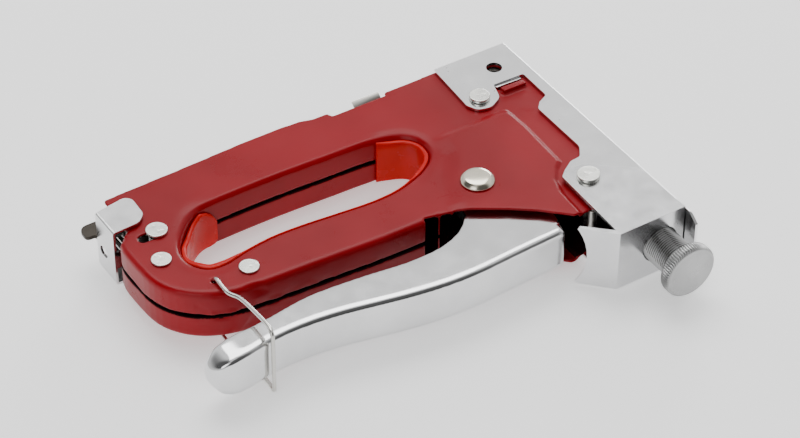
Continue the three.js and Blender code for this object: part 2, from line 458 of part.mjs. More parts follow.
// ------------------------------------------------------------- tension screw and spring
{
  const teeth = 48, pts = [];
  for (let i = 0; i < teeth; i++) {
    const a = 2 * Math.PI * i / teeth, b = 2 * Math.PI * (i + 0.5) / teeth;
    pts.push([AXIS_U + KNOB_R * Math.cos(a), KNOB_R * Math.sin(a)], [AXIS_U + (KNOB_R - 0.45) * Math.cos(b), (KNOB_R - 0.45) * Math.sin(b)]);
  }
  let knob = alongV(pts, KNOB_V[0], KNOB_V[1]);
  knob = knob.intersect(turnV([[0, KNOB_V[0]], [KNOB_R - 0.6, KNOB_V[0]], [KNOB_R + 0.3, KNOB_V[0] + 0.8], [KNOB_R + 0.3, KNOB_V[1] - 0.7], [KNOB_R - 0.7, KNOB_V[1]], [0, KNOB_V[1]]], AXIS_U, 0, 36));
  knob = knob.subtract(turnV([[0, KNOB_V[1] - 0.35], [KNOB_R - 1.7, KNOB_V[1] - 0.35], [KNOB_R - 1.3, KNOB_V[1] + 0.3], [0, KNOB_V[1] + 0.3]], AXIS_U, 0, 36));
  const profile = [[0, SCREW_END_V], [SCREW_R - 1.2, SCREW_END_V], [SCREW_R - 0.45, SCREW_END_V + 0.8]];
  for (let v = 112.6; v + PITCH < KNOB_V[0] - 0.2; v += PITCH) profile.push([SCREW_R - 0.45, v], [SCREW_R, v + PITCH * 0.5]);
  profile.push([SCREW_R - 0.45, KNOB_V[0] - 0.3], [SCREW_R - 0.45, KNOB_V[0] + 1], [0, KNOB_V[0] + 1]);
  add('tension_screw', knob.add(turnV(profile, AXIS_U, 0, 24)), MAT.satin);
  // threaded block under the top plate that the screw turns in
  let block = box(-19.6, -1.3, 105.2, TOP_V - BRACKET_T - GAP, -9.0, 9.0).subtract(cylV(AXIS_U, 0, SCREW_R + GAP, 100, 120, 24));
  add('screw_block', block, MAT.steel);
  const seatR = 6.9;
  add('spring_seat', turnV([[0, SEAT_V[0] + 1.4], [4.0, SEAT_V[0] + 1.4], [4.3, SEAT_V[0] - 1.6], [4.9, SEAT_V[0] - 1.6], [5.0, SEAT_V[0]], [seatR, SEAT_V[0]], [seatR, SEAT_V[1] - 0.6], [seatR - 0.6, SEAT_V[1]], [0, SEAT_V[1]]], AXIS_U, 0, 24), MAT.steel);
  const lo = HAMMER_V[1] + GAP + SPRING_WIRE, hi = SEAT_V[0] - GAP - SPRING_WIRE;
  const coil = new Coil((x, y, h, t) => t.set(AXIS_U + x, -(lo + (hi - lo) * h), y), SPRING_R, 8, 1);
  add('main_spring', wire(coil, SPRING_WIRE, 112, 6), MAT.dark);
}
{
  // hammer with its lifting lip, and the driver blade hooked into it
  let h = alongZ(fillet([[-17.2, 50, 1], [-3.4, 50, 0.6], [-3.4, 66, 0.6], [-22.2, 66, 1.2], [-22.2, 63.2, 0.6], [-18.4, 62.6, 0.5], [-17.2, 59, 0]], 2), -6.4, 6.4);
  h = cut(h, box(-30, -17.3, 58, 70, 3.2, 10), box(-30, -17.3, 58, 70, -10, -3.2));
  h = h.subtract(box(-6.2, -3, 53.4, 58.0, -4.0, 4.0));
  h = h.add(cylV(AXIS_U, 0, 4.2, 65.5, 69.0, 18));
  add('hammer', h, MAT.steel);
  const blade = join(box(-2.75, -1.55, 4.0, 60.0, -5.4, 5.4), box(-5.4, -2.0, 53.9, 57.5, -3.5, 3.5));
  add('driver_blade', blade, MAT.steel);
  const guide = box(-1.2, 0.0, -0.6, 62, -8.9, 8.9).subtract(box(-3, 2, 30, 46, -5, 5));
  add('driver_guide', guide, MAT.zinc);
  let bump = alongZ(fillet([[-17.4, 41.6, 1.5], [-4.0, 41.6, 1.5], [-4.0, 49.4, 1], [-17.4, 49.4, 1]], 2), -6.6, 6.6);
  add('hammer_bumper', bump, MAT.rubber);
  // bracket that carries the bumper: a folded plate standing on the magazine channel
  let carrier = alongZ([[-20.4, 27.0], [-3.6, 27.0], [-3.6, 28.2], [-19.2, 28.2], [-19.2, 40.0], [-3.6, 40.0], [-3.6, 41.2], [-20.4, 41.2]], -8.6, 8.6);
  add('bumper_carrier', carrier, MAT.zinc);
}

// ---------------------------------------------------------------------------- magazine
{
  const [c0, c1] = CHANNEL_V, z = CHANNEL_Z, t = 1.0;
  let s = alongU([[-z, c0], [-z + t, c0], [-z + t, c1 - t], [z - t, c1 - t], [z - t, c0], [z, c0], [z, c1], [-z, c1]], -170.0, MAG_FRONT - 0.2);
  s = s.subtract(cylZ(NOSE_HOLE[0], NOSE_HOLE[1], 2.9, -20, 20, 16));
  // leaf tab that stands out through the notch in the lower edge of the right shell
  const leaf = [[8.2, 0.2], [8.2, -1.1], [9.6, -1.9], [11.2, -3.3], [12.3, -5.4], [12.9, -5.2], [12.0, -2.6], [10.6, -0.9], [9.6, -0.1], [8.9, 0.2]];
  s = s.add(alongU(leaf, -68.0, -56.2));
  add('magazine_channel', s, MAT.zinc);
}
{
  // everything below pulls out at the rear
  const z = TRAY_Z, t = 0.9;
  let tray = alongU([[-z, -0.6], [z, -0.6], [z, 10.2], [z - t, 10.2], [z - t, 0.3], [-z + t, 0.3], [-z + t, 10.2], [-z, 10.2]], MAG_REAR, MAG_FRONT);
  add('magazine_tray', tray, MAT.steel);
  const r = RAIL_Z, w = 0.8;
  let rail = alongU([[-r, 0.6], [-r + w, 0.6], [-r + w, 11.4 - w], [r - w, 11.4 - w], [r - w, 0.6], [r, 0.6], [r, 11.4], [-r, 11.4]], MAG_REAR + 1, MAG_FRONT);
  rail = rail.subtract(box(MAG_REAR + 8, -30, 10, 12, -1.6, 1.6));
  add('staple_rail', rail, MAT.zinc);
  const st = [[-5.7, 3.4], [-5.0, 3.4], [-5.0, 11.7], [5.0, 11.7], [5.0, 3.4], [5.7, 3.4], [5.7, 12.3], [-5.7, 12.3]];
  add('staple_strip', alongU(st, -53.6, MAG_FRONT - 0.1), MAT.zinc);
  let pusher = alongU([[-5.9, 1.2], [-5.0, 1.2], [-5.0, 11.7], [5.0, 11.7], [5.0, 1.2], [5.9, 1.2], [5.9, 12.9], [-5.9, 12.9]], -66, -54.2);
  pusher = pusher.add(box(-64.5, -62.0, 4.0, 12.0, -1.3, 1.3)).subtract(cylU(6.0, 0, 1.22, -70, -60, 10));
  add('staple_pusher', pusher, MAT.steel);
  add('guide_rod', cylU(6.0, 0, 0.9, -179.2, -26, 10), MAT.steel);
  const coil = new Coil((x, y, h, tt) => tt.set(-172.0 + (-64.9 + 172.0) * h, -(6.0 + x), y), 2.1, 21, 1.5);
  add('pusher_spring', wire(coil, 0.3, 168, 4), MAT.wire);
}
{
  const z1 = 12.3, t = 0.95, x0 = -180.5;
  const flange = fillet([[x0, 4.4, 0], [-167.6, 2.3, 3.0], [-165.5, 4.6, 3.0], [-165.9, 13.8, 4.2], [-169.4, 17.2, 4.2], [x0, 17.8, 0]], 3);
  let s = join(alongZ(flange, z1 - t, z1), alongZ(flange, -z1, -z1 + t), alongU([[-z1, 4.4], [z1, 4.4], [z1, 17.8], [-z1, 17.8]], x0, x0 + t));
  // lip along the web's upper edge, open in its lower half
  s = s.add(box(x0, -177.3, 16.85, 17.8, -z1, 2.8)).subtract(box(-179.7, -176, 16, 18.6, -11.3, -4.6));
  s = s.intersect(alongV(fillet([[x0, -z1, 1.0], [-150, -z1, 0], [-150, z1, 0], [x0, z1, 1.0]], 3), -10, 40));
  s = cut(s, cylU(8.4, -2.6, 2.0, -184, -178.6, 14), cylU(10.0, -2.6, 2.0, -184, -178.6, 14));
  add('magazine_latch', s, MAT.chrome);
  add('pull_tab', alongZ(fillet([[-173.4, -4.0, 0.8], [-184.0, -4.0, 3.3], [-184.0, 2.8, 3.3], [-180.4, 2.8, 0.6], [-180.4, 4.2, 0], [-176.2, 4.2, 0], [-173.4, 1.6, 0]], 5), -0.8, 0.8), MAT.dark);
}

// ---------------------------------------------------------------- place on the ground
const bounds = new THREE.Box3().setFromObject(group);
const mid = bounds.getCenter(new THREE.Vector3());
group.position.set(-mid.x, -mid.y, -bounds.min.z);
group.updateMatrixWorld(true);

export default group;
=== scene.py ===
import json
import math
import random

import bmesh
import bpy
import numpy as np
from mathutils import Matrix, Vector, noise

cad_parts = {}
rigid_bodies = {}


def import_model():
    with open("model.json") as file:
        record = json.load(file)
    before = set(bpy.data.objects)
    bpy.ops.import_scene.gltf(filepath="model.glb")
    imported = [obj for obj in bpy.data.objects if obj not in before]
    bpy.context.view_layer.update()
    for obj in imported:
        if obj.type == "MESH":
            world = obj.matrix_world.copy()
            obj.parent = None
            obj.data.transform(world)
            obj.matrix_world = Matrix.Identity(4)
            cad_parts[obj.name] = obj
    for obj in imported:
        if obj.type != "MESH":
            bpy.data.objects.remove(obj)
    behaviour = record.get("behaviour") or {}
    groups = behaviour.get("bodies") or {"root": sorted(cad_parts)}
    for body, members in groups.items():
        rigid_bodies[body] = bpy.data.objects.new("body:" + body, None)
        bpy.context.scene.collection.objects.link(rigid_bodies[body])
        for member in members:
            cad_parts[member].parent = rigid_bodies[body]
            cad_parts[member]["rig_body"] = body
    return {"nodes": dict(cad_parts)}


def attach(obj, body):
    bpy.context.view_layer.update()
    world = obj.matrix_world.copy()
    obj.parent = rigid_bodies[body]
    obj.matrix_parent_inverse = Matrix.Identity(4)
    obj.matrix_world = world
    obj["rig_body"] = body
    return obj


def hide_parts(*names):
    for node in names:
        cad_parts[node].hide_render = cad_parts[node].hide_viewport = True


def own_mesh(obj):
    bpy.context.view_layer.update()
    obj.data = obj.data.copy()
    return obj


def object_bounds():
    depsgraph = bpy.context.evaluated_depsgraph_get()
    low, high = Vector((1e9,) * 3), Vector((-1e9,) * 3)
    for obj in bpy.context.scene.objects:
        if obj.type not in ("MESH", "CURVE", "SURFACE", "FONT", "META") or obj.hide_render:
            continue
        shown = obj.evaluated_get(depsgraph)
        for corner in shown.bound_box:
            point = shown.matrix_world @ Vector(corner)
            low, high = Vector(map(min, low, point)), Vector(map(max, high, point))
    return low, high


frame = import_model()
CAD_LO, CAD_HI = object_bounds()
MM = 0.001
# the gun's own frame: u from the rear to the nose, v from the staple face to the top of the gun, z across it, in mm
OFF = ((CAD_LO.x + CAD_HI.x) / 2 / MM + 91.325, (CAD_LO.y + CAD_HI.y) / 2 / MM + 64.450, CAD_LO.z / MM + 14.900)


def P(u, v, z):
    return Vector(((u + OFF[0]) * MM, (OFF[1] - v) * MM, (z + OFF[2]) * MM))


# ------------------------------------------------------------------ camera, floor, light
def make_camera():
    cam = bpy.data.objects.new("camera", bpy.data.cameras.new("camera"))
    bpy.context.scene.collection.objects.link(cam)
    right = Vector((0.841056627884398, -0.5409252335945873, 0.004862134548362981))
    up = Vector((0.3490462335002469, 0.5495367829397368, 0.7590626134091547))
    fwd = Vector((0.4132680432491925, 0.6367175322361445, -0.6509994689491673))
    m = Matrix((right, up, -fwd)).transposed().to_4x4()
    m.translation = Vector((-400.643, -620.571, 660.429)) * MM
    cam.matrix_world = m
    cam.data.sensor_width = 36.0
    cam.data.lens = 36.0 * 2720.0 / 800.0
    cam.data.clip_start, cam.data.clip_end = 0.01, 20.0
    bpy.context.scene.camera = cam


def link(ob):
    bpy.context.scene.collection.objects.link(ob)
    return ob


def area_light(name, at, to, size, power, colour=(1, 1, 1)):
    d = bpy.data.lights.new(name, "AREA")
    d.shape, d.size, d.size_y = "RECTANGLE", size[0], size[1]
    d.energy, d.color = power, colour
    ob = link(bpy.data.objects.new(name, d))
    ob.location = Vector(at)
    ob.rotation_euler = (Vector(to) - Vector(at)).to_track_quat("-Z", "Y").to_euler()
    return ob


def make_world():
    w = bpy.data.worlds.new("studio")
    bpy.context.scene.world = w
    w.use_nodes = True
    nt = w.node_tree
    nt.nodes.clear()
    out = nt.nodes.new("ShaderNodeOutputWorld")
    bg = nt.nodes.new("ShaderNodeBackground")
    tc = nt.nodes.new("ShaderNodeTexCoord")
    sep = nt.nodes.new("ShaderNodeSeparateXYZ")
    ramp = nt.nodes.new("ShaderNodeValToRGB")
    nt.links.new(tc.outputs["Generated"], sep.inputs[0])
    nt.links.new(sep.outputs["Z"], ramp.inputs[0])
    r = ramp.color_ramp
    r.elements[0].position, r.elements[0].color = 0.0, (0.9, 0.9, 0.9, 1)
    r.elements[1].position, r.elements[1].color = 1.0, (0.95, 0.95, 0.95, 1)
    for p, c in ((0.05, 0.80), (0.20, 0.70), (0.38, 0.85), (0.55, 1.05)):
        e = r.elements.new(p)
        e.color = (c, c, c, 1)
    level = ramp.outputs[0]
    # the studio is dark behind the camera, and there is a dark flag to the left
    for way, lo, hi, deep in (((0.05, -0.80, 0.55), 0.62, 0.92, 0.90), ((-0.66, 0.22, 0.66), 0.78, 0.93, 0.90)):
        dot = nt.nodes.new("ShaderNodeVectorMath")
        dot.operation = "DOT_PRODUCT"
        nt.links.new(tc.outputs["Generated"], dot.inputs[0])
        dot.inputs[1].default_value = Vector(way).normalized()
        mr = nt.nodes.new("ShaderNodeMapRange")
        mr.interpolation_type = "SMOOTHSTEP"
        mr.inputs["From Min"].default_value, mr.inputs["From Max"].default_value = lo, hi
        mr.inputs["To Min"].default_value, mr.inputs["To Max"].default_value = 1.0, 1.0 - deep
        nt.links.new(dot.outputs["Value"], mr.inputs["Value"])
        mul = nt.nodes.new("ShaderNodeVectorMath")
        mul.operation = "SCALE"
        nt.links.new(level, mul.inputs[0])
        nt.links.new(mr.outputs[0], mul.inputs["Scale"])
        level = mul.outputs[0]
    nt.links.new(level, bg.inputs["Color"])
    bg.inputs["Strength"].default_value = 1.15
    nt.links.new(bg.outputs[0], out.inputs[0])


# --------------------------------------------------------------------------- materials
class Nodes:
    def __init__(self, name):
        self.m = bpy.data.materials.new(name)
        self.m.use_nodes = True
        self.t = self.m.node_tree
        self.b = self.t.nodes["Principled BSDF"]
        self.tc = self.t.nodes.new("ShaderNodeTexCoord").outputs["Object"]

    def new(self, kind, **kw):
        n = self.t.nodes.new(kind)
        for k, v in kw.items():
            setattr(n, k, v)
        return n

    def link(self, a, b):
        self.t.links.new(a, b)

    def noise(self, scale, detail=4.0, rough=0.55, stretch=None, vec=None):
        n = self.new("ShaderNodeTexNoise")
        n.inputs["Scale"].default_value = scale
        n.inputs["Detail"].default_value = detail
        n.inputs["Roughness"].default_value = rough
        src = vec or self.tc
        if stretch:
            mp = self.new("ShaderNodeMapping")
            mp.inputs["Scale"].default_value = stretch
            self.link(src, mp.inputs["Vector"])
            src = mp.outputs[0]
        self.link(src, n.inputs["Vector"])
        return n.outputs["Fac"]

    def voronoi(self, scale, feature="F1"):
        n = self.new("ShaderNodeTexVoronoi", feature=feature)
        n.inputs["Scale"].default_value = scale
        self.link(self.tc, n.inputs["Vector"])
        return n.outputs["Distance"]

    def ramp(self, fac, stops, interp="LINEAR"):
        n = self.new("ShaderNodeValToRGB")
        n.color_ramp.interpolation = interp
        els = n.color_ramp.elements
        els[0].position, els[0].color = stops[0][0], col(stops[0][1])
        els[1].position, els[1].color = stops[-1][0], col(stops[-1][1])
        for p, c in stops[1:-1]:
            e = els.new(p)
            e.color = col(c)
        self.link(fac, n.inputs[0])
        return n.outputs[0]

    def mix(self, fac, a, b, blend="MIX"):
        n = self.new("ShaderNodeMix", data_type="RGBA", blend_type=blend)
        for sock, v in ((n.inputs[0], fac), (n.inputs[6], a), (n.inputs[7], b)):
            if hasattr(v, "is_linked") or hasattr(v, "links"):
                self.link(v, sock)
            elif isinstance(v, (int, float)):
                sock.default_value = v
            else:
                sock.default_value = col(v)
        return n.outputs[2]

    def math(self, op, a, b=0.0, clamp=False):
        n = self.new("ShaderNodeMath", operation=op, use_clamp=clamp)
        for sock, v in ((n.inputs[0], a), (n.inputs[1], b)):
            if hasattr(v, "links"):
                self.link(v, sock)
            else:
                sock.default_value = v
        return n.outputs[0]

    def range(self, fac, lo, hi, a=0.0, b=1.0):
        n = self.new("ShaderNodeMapRange")
        n.inputs["From Min"].default_value = lo
        n.inputs["From Max"].default_value = hi
        n.inputs["To Min"].default_value = a
        n.inputs["To Max"].default_value = b
        self.link(fac, n.inputs["Value"])
        return n.outputs[0]

    def edge(self, lo=0.52, hi=0.62):
        g = self.new("ShaderNodeNewGeometry")
        return self.range(g.outputs["Pointiness"], lo, hi)

    def bump(self, height, strength, distance, normal=None):
        n = self.new("ShaderNodeBump")
        n.inputs["Strength"].default_value = strength
        n.inputs["Distance"].default_value = distance
        self.link(height, n.inputs["Height"])
        if normal is not None:
            self.link(normal, n.inputs["Normal"])
        return n.outputs[0]

    def set(self, **kw):
        for k, v in kw.items():
            s = self.b.inputs[k.replace("_", " ")]
            if hasattr(v, "links"):
                self.link(v, s)
            else:
                s.default_value = col(v) if isinstance(v, tuple) else v
        return self.m


def col(c):
    if isinstance(c, (int, float)):
        return (c, c, c, 1.0)
    return tuple(c) if len(c) == 4 else (*c, 1.0)


def paint_red():
    n = Nodes("red_paint")
    big = n.noise(28, 2)
    c = n.ramp(big, [(0.35, (0.228, 0.0005, 0.0045)), (0.65, (0.278, 0.0010, 0.0068))])
    chips = n.math("MULTIPLY", n.edge(0.58, 0.68), n.range(n.noise(900, 3), 0.56, 0.66))
    c = n.mix(chips, c, (0.13, 0.03, 0.025))
    specks = n.math("MULTIPLY", n.range(n.voronoi(260), 0.02, 0.05, 1.0, 0.0), n.range(n.noise(90, 2), 0.60, 0.66))
    c = n.mix(specks, c, (0.02, 0.004, 0.004))
    b1 = n.bump(n.noise(70, 2), 0.08, 0.0010)
    b2 = n.bump(n.noise(520, 2, 0.5), 0.05, 0.0004, b1)
    rough = n.range(n.math("ADD", n.noise(60, 3), n.math("MULTIPLY", n.noise(2600, 2), 0.3)), 0.3, 1.0, 0.24, 0.38)
    n.b.inputs["Specular IOR Level"].default_value = 0.19
    return n.set(Base_Color=c, Roughness=rough, Normal=b2)


# near-black and nearly matt: painted shade for the hollow inside of the shells
def painted_inside_shade():
    n = Nodes("painted_inside_shade")
    c = n.ramp(n.noise(60, 3), [(0.3, (0.010, 0.0008, 0.0010)), (0.7, (0.020, 0.0012, 0.0016))])
    n.b.inputs["Specular IOR Level"].default_value = 0.10
    return n.set(Base_Color=c, Roughness=n.range(n.noise(200, 3), 0.3, 0.7, 0.5, 0.75), Normal=n.bump(n.noise(300, 3), 0.1, 0.0004))


def liner_plastic():
    n = Nodes("liner_plastic")
    c = n.ramp(n.noise(40, 3), [(0.3, (0.46, 0.0030, 0.0026)), (0.7, (0.56, 0.0070, 0.0040))])
    b = n.bump(n.noise(120, 1), 0.05, 0.0004)
    n.b.inputs["Subsurface Weight"].default_value = 0.22
    n.b.inputs["Subsurface Radius"].default_value = (1.0, 0.08, 0.03)
    n.b.inputs["Subsurface Scale"].default_value = 0.0022
    n.b.inputs["Specular IOR Level"].default_value = 0.15
    return n.set(Base_Color=c, Roughness=n.range(n.noise(120, 3), 0.3, 0.7, 0.20, 0.30), Normal=b)


def metal(name, lo, hi, r0, r1, pits=0.10, pit_scale=1500, grain=None, grain_amount=0.0, wave=0.05, painted_edge_highlight=None):
    n = Nodes(name)
    c = n.ramp(n.noise(55, 4), [(0.3, lo), (0.7, hi)])
    spots = n.range(n.voronoi(pit_scale), 0.05, 0.16, 1.0, 0.0)
    few = n.math("MULTIPLY", spots, n.range(n.noise(pit_scale * 0.35, 2), 0.55, 0.7))
    c = n.mix(n.math("MULTIPLY", few, min(1.0, pits * 4)), c, tuple(x * 0.45 for x in lo))
    # a lighter colour on sharp edges: on the screw thread this is a painted highlight along the crests
    if painted_edge_highlight:
        c = n.mix(n.math("MULTIPLY", n.edge(0.54, 0.64), 0.6), c, painted_edge_highlight)
    b = n.bump(n.noise(48, 2), wave, 0.0010)
    if grain:
        b = n.bump(n.noise(900, 3, 0.6, stretch=grain), grain_amount, 0.0002, b)
    b = n.bump(few, -pits, 0.0004, b)
    rough = n.range(n.math("ADD", n.noise(140, 4), n.math("MULTIPLY", n.noise(1700, 2), 0.25)), 0.35, 0.9, r0, r1)
    n.b.inputs["Metallic"].default_value = 1.0
    return n.set(Base_Color=c, Roughness=rough, Normal=b)


def rubber():
    n = Nodes("bumper_rubber")
    c = n.ramp(n.noise(90, 4), [(0.3, (0.012, 0.012, 0.013)), (0.7, (0.03, 0.03, 0.032))])
    return n.set(Base_Color=c, Roughness=n.range(n.noise(300, 3), 0.3, 0.7, 0.6, 0.85), Normal=n.bump(n.noise(700, 3), 0.2, 0.0004))


def make_materials():
    return {
        "red_paint": paint_red(),
        "painted_inside_shade": painted_inside_shade(),
        # the thread's crests get a painted highlight, its colour given below
        "screw_thread": metal("screw_thread", (0.28, 0.28, 0.28), (0.40, 0.40, 0.40), 0.24, 0.36, pits=0.12, pit_scale=1700, wave=0.03, painted_edge_highlight=(0.55, 0.55, 0.55)),
        "liner_plastic": liner_plastic(),
        "nose_chrome": metal("nose_chrome", (0.74, 0.74, 0.745), (0.84, 0.84, 0.845), 0.10, 0.20, pits=0.30, pit_scale=420, wave=0.10),
        "bracket_chrome": metal("bracket_chrome", (0.64, 0.64, 0.65), (0.72, 0.72, 0.725), 0.14, 0.26, pits=0.30, pit_scale=420, wave=0.10),
        "lever_chrome": metal("lever_chrome", (0.66, 0.66, 0.665), (0.74, 0.74, 0.745), 0.08, 0.17, pits=0.12, pit_scale=1200, wave=0.07),
        "latch_chrome": metal("latch_chrome", (0.62, 0.62, 0.63), (0.70, 0.70, 0.70), 0.16, 0.28, pits=0.10, wave=0.08),
        "rivet_zinc": metal("rivet_zinc", (0.66, 0.66, 0.62), (0.80, 0.80, 0.75), 0.20, 0.36, pits=0.40, pit_scale=1500, wave=0.12),
        "pivot_nickel": metal("pivot_nickel", (0.66, 0.61, 0.50), (0.76, 0.71, 0.60), 0.12, 0.22, pits=0.12, pit_scale=1600, wave=0.04),
        "screw_satin": metal("screw_satin", (0.33, 0.33, 0.33), (0.42, 0.42, 0.42), 0.22, 0.36, pits=0.12, pit_scale=1700, wave=0.03),
        "inner_steel": metal("inner_steel", (0.36, 0.36, 0.36), (0.48, 0.47, 0.46), 0.30, 0.45, pits=0.2, wave=0.05, grain=(0.1, 1, 1), grain_amount=0.1),
        "inner_zinc": metal("inner_zinc", (0.52, 0.51, 0.48), (0.64, 0.62, 0.57), 0.24, 0.38, pits=0.15, wave=0.05),
        "staple_wire": metal("staple_wire", (0.60, 0.60, 0.60), (0.70, 0.70, 0.70), 0.22, 0.32, grain=(1, 0.05, 0.05), grain_amount=0.4),
        "bumper_rubber": rubber(),
        "dark_steel": metal("dark_steel", (0.030, 0.028, 0.024), (0.060, 0.052, 0.044), 0.30, 0.45, pits=0.15, wave=0.08),
        "spring_steel": metal("spring_steel", (0.34, 0.33, 0.32), (0.46, 0.45, 0.43), 0.24, 0.36, pits=0.08),
        "bail_steel": metal("bail_steel", (0.55, 0.54, 0.51), (0.66, 0.65, 0.61), 0.18, 0.30, pits=0.10),
    }


# ---------------------------------------------------------------------- mesh helpers
def finish_mesh(ob, sharp=35.0):
    me = ob.data
    me.shade_smooth()
    me.set_sharp_from_angle(angle=math.radians(sharp))
    return ob


def solid_copy(node, name, slot, width=0.25, segments=2, sharp=40.0, limit=28.0, body=None, horn=None):
    """A finished piece that follows a CAD node: welded, its flats cleaned up, its corners broken."""
    src = frame["nodes"][node]
    me = src.data.copy()
    me.name = name
    ob = link(bpy.data.objects.new(name, me))
    bm = bmesh.new()
    bm.from_mesh(me)
    bmesh.ops.remove_doubles(bm, verts=bm.verts, dist=2e-6)
    bmesh.ops.dissolve_limit(bm, angle_limit=math.radians(1.0), verts=bm.verts, edges=bm.edges)
    if horn:
        c, way = P(horn[0], horn[1], 0), Vector((horn[2], -horn[3], 0)).normalized()
        pick = [e for e in bm.edges if all(math.hypot(w.co.x - c.x, w.co.y - c.y) < 2.2 * MM and abs(w.co.z - c.z) > 12.5 * MM for w in e.verts)
            and abs((e.verts[0].co - e.verts[1].co).normalized().dot(way)) > 0.9]
        if pick:
            bmesh.ops.bevel(bm, geom=pick, offset=1.3 * MM, segments=5, profile=0.5, affect="EDGES", clamp_overlap=True)
    bm.to_mesh(me)
    bm.free()
    if "custom_normal" in me.attributes:
        me.attributes.remove(me.attributes["custom_normal"])
    if width:
        mod = ob.modifiers.new("corners", "BEVEL")
        mod.width = width * MM
        mod.segments = segments
        mod.limit_method = "ANGLE"
        mod.angle_limit = math.radians(limit)
        mod.use_clamp_overlap = True
        mod.miter_outer = "MITER_ARC"
    apply_mods(ob)
    finish_mesh(ob, sharp)
    mod = ob.modifiers.new("flats", "WEIGHTED_NORMAL")
    mod.keep_sharp = True
    mod.weight = 100
    apply_mods(ob)
    place(ob, slot, body or src["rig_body"], node)
    return ob


def apply_mods(ob):
    dg = bpy.context.evaluated_depsgraph_get()
    me = bpy.data.meshes.new_from_object(ob.evaluated_get(dg), depsgraph=dg)
    ob.modifiers.clear()
    old = ob.data
    ob.data = me
    me.name = ob.name
    bpy.data.meshes.remove(old)


def place(ob, slot, body, *nodes):
    ob.data.materials.clear()
    ob.data.materials.append(MATS[slot])
    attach(ob, body)
    if nodes:
        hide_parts(*nodes)
    return ob


def new_piece(name, verts, faces, sharp=35.0):
    me = bpy.data.meshes.new(name)
    me.from_pydata([tuple(v) for v in verts], [], [tuple(f) for f in faces])
    me.validate()
    ob = link(bpy.data.objects.new(name, me))
    bm = bmesh.new()
    bm.from_mesh(me)
    bmesh.ops.recalc_face_normals(bm, faces=bm.faces)
    bm.to_mesh(me)
    bm.free()
    return finish_mesh(ob, sharp)


def catmull(points, samples, closed=False):
    """Centripetal curve through the points, evenly spaced."""
    p = np.array(points, float)
    n = len(p)
    segs = n if closed else n - 1
    out = []
    for i in range(segs):
        if closed:
            q = [p[(i - 1) % n], p[i], p[(i + 1) % n], p[(i + 2) % n]]
        else:
            a = p[i - 1] if i else 2 * p[0] - p[1]
            b = p[i + 2] if i + 2 < n else 2 * p[-1] - p[-2]
            q = [a, p[i], p[i + 1], b]
        t = [0.0]
        for k in range(3):
            t.append(t[-1] + max(1e-6, np.linalg.norm(q[k + 1] - q[k]) ** 0.5))
        for s in np.linspace(t[1], t[2], 24, endpoint=False):
            a1 = (t[1] - s) / (t[1] - t[0]) * q[0] + (s - t[0]) / (t[1] - t[0]) * q[1]
            a2 = (t[2] - s) / (t[2] - t[1]) * q[1] + (s - t[1]) / (t[2] - t[1]) * q[2]
            a3 = (t[3] - s) / (t[3] - t[2]) * q[2] + (s - t[2]) / (t[3] - t[2]) * q[3]
            b1 = (t[2] - s) / (t[2] - t[0]) * a1 + (s - t[0]) / (t[2] - t[0]) * a2
            b2 = (t[3] - s) / (t[3] - t[1]) * a2 + (s - t[1]) / (t[3] - t[1]) * a3
            out.append((t[2] - s) / (t[2] - t[1]) * b1 + (s - t[1]) / (t[2] - t[1]) * b2)
    out.append(p[0] if closed else p[-1])
    out = np.array(out)
    d = np.r_[0, np.cumsum(np.linalg.norm(np.diff(out, axis=0), axis=1))]
    at = np.linspace(0, d[-1], samples + 1)
    res = np.stack([np.interp(at, d, out[:, k]) for k in range(out.shape[1])], 1)
    return res[:-1] if closed else res


def tube(name, path, radius, sides=12, flat_ends=True):
    """Round wire along points (u, v, z)."""
    pts = [P(*p) for p in path]
    n = len(pts)
    tang = [(pts[min(i + 1, n - 1)] - pts[max(i - 1, 0)]).normalized() for i in range(n)]
    ref = tang[0].orthogonal().normalized()
    verts, faces = [], []
    for i in range(n):
        ref = (ref - tang[i] * ref.dot(tang[i])).normalized()
        other = tang[i].cross(ref)
        r = radius * MM
        for k in range(sides):
            a = 2 * math.pi * k / sides
            verts.append(pts[i] + (ref * math.cos(a) + other * math.sin(a)) * r)
    for i in range(n - 1):
        for k in range(sides):
            a, b = i * sides + k, i * sides + (k + 1) % sides
            faces.append((a, b, b + sides, a + sides))
    for end, base in ((0, 0), (1, (n - 1) * sides)):
        d = tang[0] * -1 if end == 0 else tang[-1]
        ring = []
        for k in range(sides):
            c = pts[0] if end == 0 else pts[-1]
            ring.append(len(verts))
            verts.append(c + (verts[base + k] - c) * 0.72 + d * radius * MM * 0.22)
        for k in range(sides):
            faces.append((base + k, base + (k + 1) % sides, ring[(k + 1) % sides], ring[k]))
        faces.append(tuple(ring))
    return new_piece(name, verts, faces, 50)


def lathe(name, rings, steps, axis="z", at=(0, 0), wobble=None, sharp=32.0):
    """Turned piece. rings are (radius, height) in mm. A radius may be a function of the angle."""
    verts, faces, base = [], [], []
    for r, h in rings:
        if not callable(r) and r < 1e-6:
            base.append((len(verts), 1))
            verts.append((0.0, 0.0, h))
            continue
        base.append((len(verts), steps))
        for k in range(steps):
            a = 2 * math.pi * k / steps
            rr = r(a) if callable(r) else r
            hh = h + (wobble(rr, a, h) if wobble else 0.0)
            verts.append((rr * math.cos(a), rr * math.sin(a), hh))
    for (b0, n0), (b1, n1) in zip(base, base[1:]):
        for k in range(steps):
            k2 = (k + 1) % steps
            if n0 == 1:
                faces.append((b0, b1 + k, b1 + k2))
            elif n1 == 1:
                faces.append((b0 + k, b0 + k2, b1))
            else:
                faces.append((b0 + k, b0 + k2, b1 + k2, b1 + k))
    out = []
    for x, y, h in verts:
        out.append(P(at[0] + x, at[1] + y, h) if axis == "z" else P(at[0] + x, h, at[1] + y))
    return new_piece(name, out, faces, sharp)


